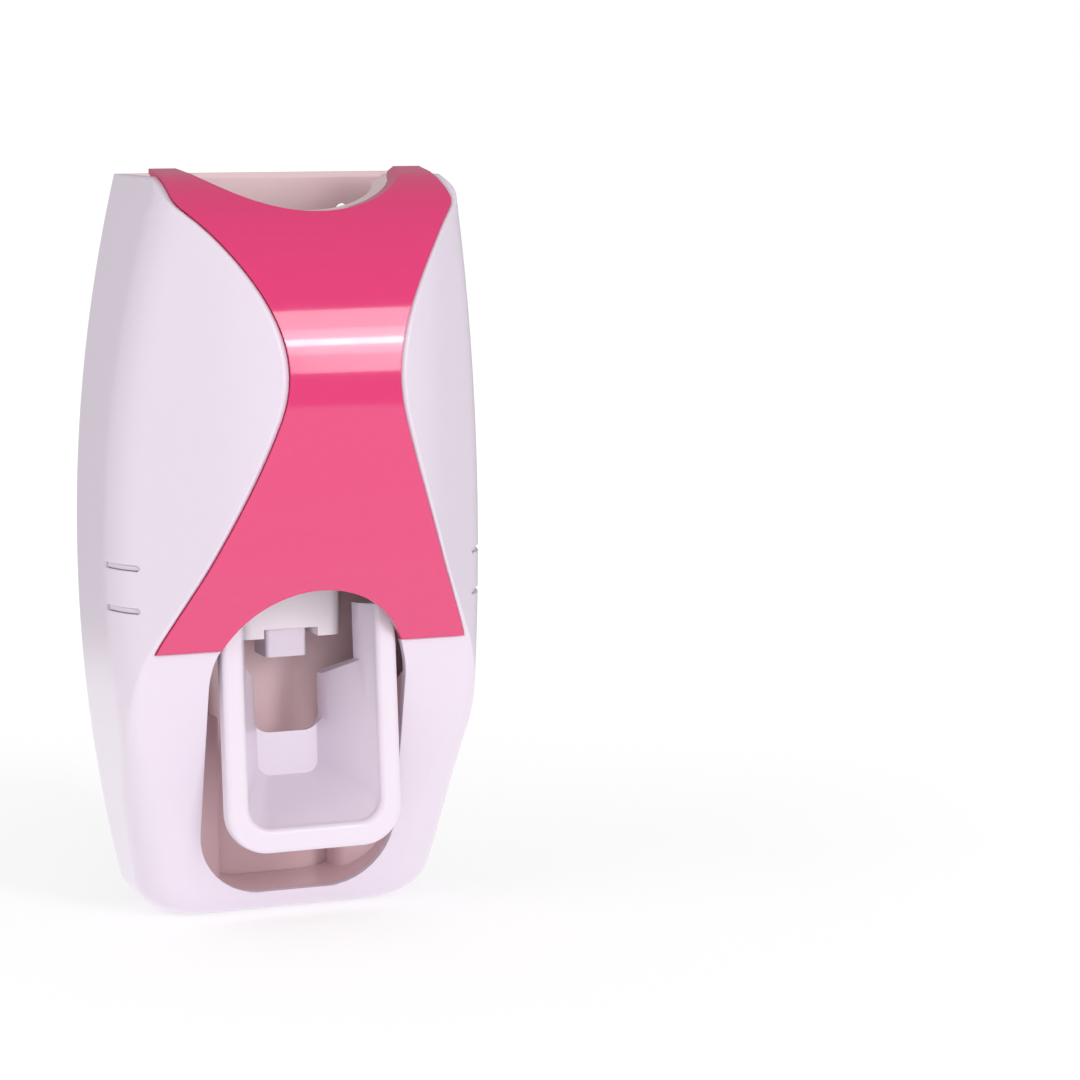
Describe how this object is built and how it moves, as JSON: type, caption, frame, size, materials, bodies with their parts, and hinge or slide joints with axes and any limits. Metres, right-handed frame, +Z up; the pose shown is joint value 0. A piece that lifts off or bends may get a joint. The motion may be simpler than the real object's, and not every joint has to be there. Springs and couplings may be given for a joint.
{
  "type": "toothpaste dispenser",
  "caption": "Wall-hung toothpaste dispenser: white barrel body, pink hourglass front panel, and a push lever that works a piston pump above the brush opening.",
  "frame": {"origin": "middle of the base, at floor level", "axes": "+Z up, +Y towards the wall behind the dispenser, +X to the right seen from the front"},
  "size_m": [0.085, 0.06, 0.165],
  "materials": {
    "white_shell": "gloss",
    "pink_panel": "gloss",
    "white_lever": "gloss",
    "pump_plastic": "matte",
    "soft_seal": "matte",
    "steel": "satin"
  },
  "bodies": {
    "housing": {"front_housing": "white_shell", "drip_bowl": "white_shell", "front_panel": "pink_panel", "rear_cover": "white_shell", "pump_deck": "white_shell", "pump_body": "pump_plastic", "tube_collar": "pump_plastic", "tube_seal": "soft_seal", "inlet_valve": "soft_seal", "nozzle": "white_lever", "outlet_valve": "soft_seal", "pump_shroud": "white_lever", "gland_cap": "pump_plastic", "deck_screws": "steel", "pump_screws": "steel", "shroud_screws": "steel", "pivot_pins": "steel", "pivot_clips": "steel", "return_spring": "steel"},
    "lever": {"push_lever": "white_lever"},
    "plunger": {"piston": "pump_plastic", "piston_seals": "soft_seal", "cross_pin": "steel"}
  },
  "joints": [
    {"name": "lever_hinge", "type": "hinge", "parent": "housing", "child": "lever", "pos_m": [0, 0, 0.09756], "axis": [1, 0, 0], "range_deg": [0, 10], "stiffness_Nm_per_rad": 0.4, "springref_deg": -8.59},
    {"name": "piston_slide", "type": "slide", "parent": "housing", "child": "plunger", "axis": [0, 1, 0], "range_m": [0, 0.0025], "deforming": ["return_spring"]}
  ],
  "couplings": [
    {"joint": "piston_slide", "follows": "lever_hinge", "m_per_rad": 0.014036}
  ]
}
